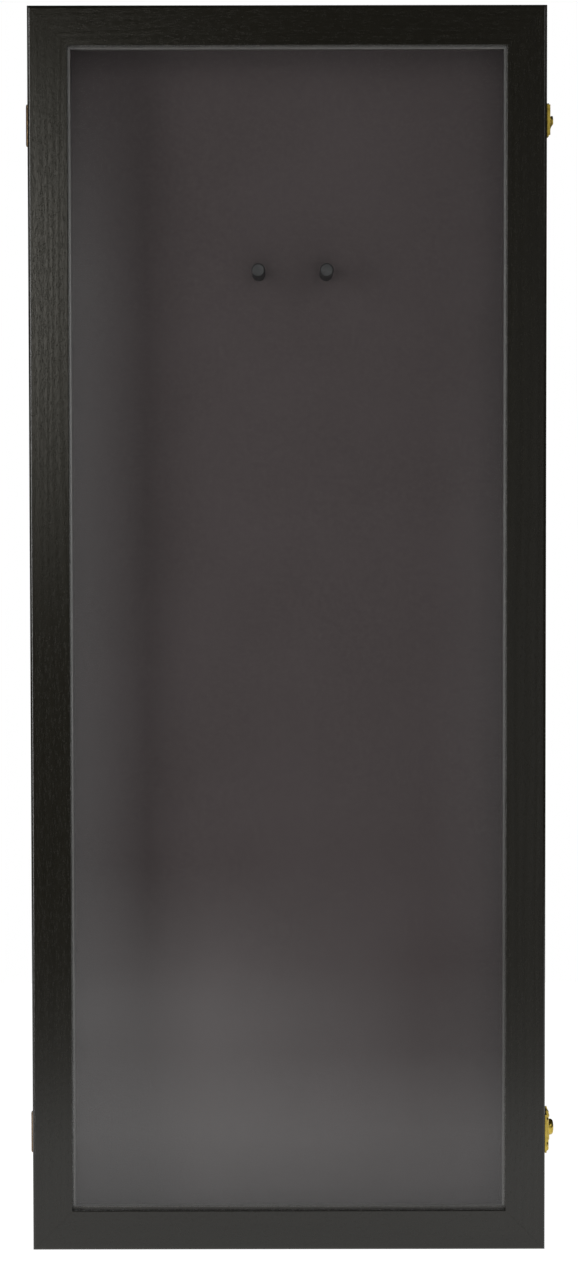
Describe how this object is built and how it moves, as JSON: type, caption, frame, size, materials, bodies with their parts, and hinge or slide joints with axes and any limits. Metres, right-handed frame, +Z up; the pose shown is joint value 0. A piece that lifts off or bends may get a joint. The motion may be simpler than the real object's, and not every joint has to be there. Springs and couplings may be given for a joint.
{
  "type": "display case",
  "caption": "Shallow black wooden wall case with a felt-lined back, padded hanging pegs and a clear hinged front door closed by a brass swing hook and a keyed hasp.",
  "frame": {"origin": "centre of the underside of the box, without the door", "axes": "+Z up, the door faces -Y, the wall is on the +Y side, +X is the viewer's right"},
  "size_m": [0.4669, 0.1145, 1.098],
  "materials": {
    "lacquer": "black satin lacquer over open-grained wood",
    "hardboard": "dark stained hardboard",
    "bare_wood": "plain sanded wood",
    "felt": "charcoal felt",
    "acrylic": "clear polished acrylic sheet",
    "brass": "polished brass plating, a little dulled",
    "aged_brass": "aged brass, darkened brown",
    "steel": "zinc-plated steel",
    "rubber": "matt black rubber"
  },
  "bodies": {
    "box": {"box_left_board": "lacquer", "box_right_board": "lacquer", "box_top_board": "lacquer", "box_bottom_board": "lacquer", "back_panel": "hardboard", "felt_lining": "felt", "peg_block": "bare_wood", "left_peg_dowel": "bare_wood", "left_peg_sleeve": "rubber", "left_peg_screw": "steel", "right_peg_dowel": "bare_wood", "right_peg_sleeve": "rubber", "right_peg_screw": "steel", "upper_hinge_box_leaf": "aged_brass", "upper_hinge_pin": "aged_brass", "upper_hinge_box_screw_upper": "aged_brass", "upper_hinge_box_screw_lower": "aged_brass", "lower_hinge_box_leaf": "aged_brass", "lower_hinge_pin": "aged_brass", "lower_hinge_box_screw_upper": "aged_brass", "lower_hinge_box_screw_lower": "aged_brass", "catch_plate": "brass", "catch_screw_upper": "brass", "catch_screw_lower": "brass", "lock_case": "brass", "lock_screw_front": "brass", "lock_screw_rear": "brass", "left_hanger_strap": "steel", "left_hanger_screw": "steel", "right_hanger_strap": "steel", "right_hanger_screw": "steel", "left_bumper": "rubber", "right_bumper": "rubber"},
    "door": {"door_left_stile": "lacquer", "door_right_stile": "lacquer", "door_top_rail": "lacquer", "door_bottom_rail": "lacquer", "acrylic_pane": "acrylic", "pane_bead_left": "lacquer", "pane_bead_right": "lacquer", "pane_bead_top": "lacquer", "pane_bead_bottom": "lacquer", "upper_hinge_door_leaf": "aged_brass", "upper_hinge_door_screw_upper": "aged_brass", "upper_hinge_door_screw_lower": "aged_brass", "lower_hinge_door_leaf": "aged_brass", "lower_hinge_door_screw_upper": "aged_brass", "lower_hinge_door_screw_lower": "aged_brass", "keeper_plate": "brass", "keeper_screw_upper": "brass", "keeper_screw_lower": "brass", "hasp_leaf": "brass", "hasp_pin": "brass", "hasp_screw_upper": "brass", "hasp_screw_lower": "brass"},
    "hook": {"catch_hook": "brass"},
    "flap": {"hasp_flap": "brass"},
    "lock": {"lock_cylinder": "brass"},
    "left_ring": {"left_hanger_ring": "steel"},
    "right_ring": {"right_hanger_ring": "steel"}
  },
  "joints": [
    {"name": "door_swing", "type": "hinge", "parent": "box", "child": "door", "pos_m": [-0.2279, -0.0445, 0.549], "axis": [0, 0, -1], "range_deg": [0, 180]},
    {"name": "hook_swing", "type": "hinge", "parent": "box", "child": "hook", "pos_m": [0.2318, -0.026, 0.9975], "axis": [-1, 0, 0], "range_deg": [0, 90]},
    {"name": "hasp_fold", "type": "hinge", "parent": "door", "child": "flap", "pos_m": [0.2296, -0.0465, 0.104], "axis": [0, 0, -1], "range_deg": [0, 150]},
    {"name": "lock_turn", "type": "hinge", "parent": "box", "child": "lock", "pos_m": [0.2343, -0.032, 0.104], "axis": [1, 0, 0], "range_deg": [0, 90]},
    {"name": "left_ring_swing", "type": "hinge", "parent": "box", "child": "left_ring", "pos_m": [-0.2195, 0.0469, 0.993], "axis": [1, 0, 0], "range_deg": [0, 180]},
    {"name": "right_ring_swing", "type": "hinge", "parent": "box", "child": "right_ring", "pos_m": [0.2195, 0.0469, 0.993], "axis": [1, 0, 0], "range_deg": [0, 180]}
  ]
}
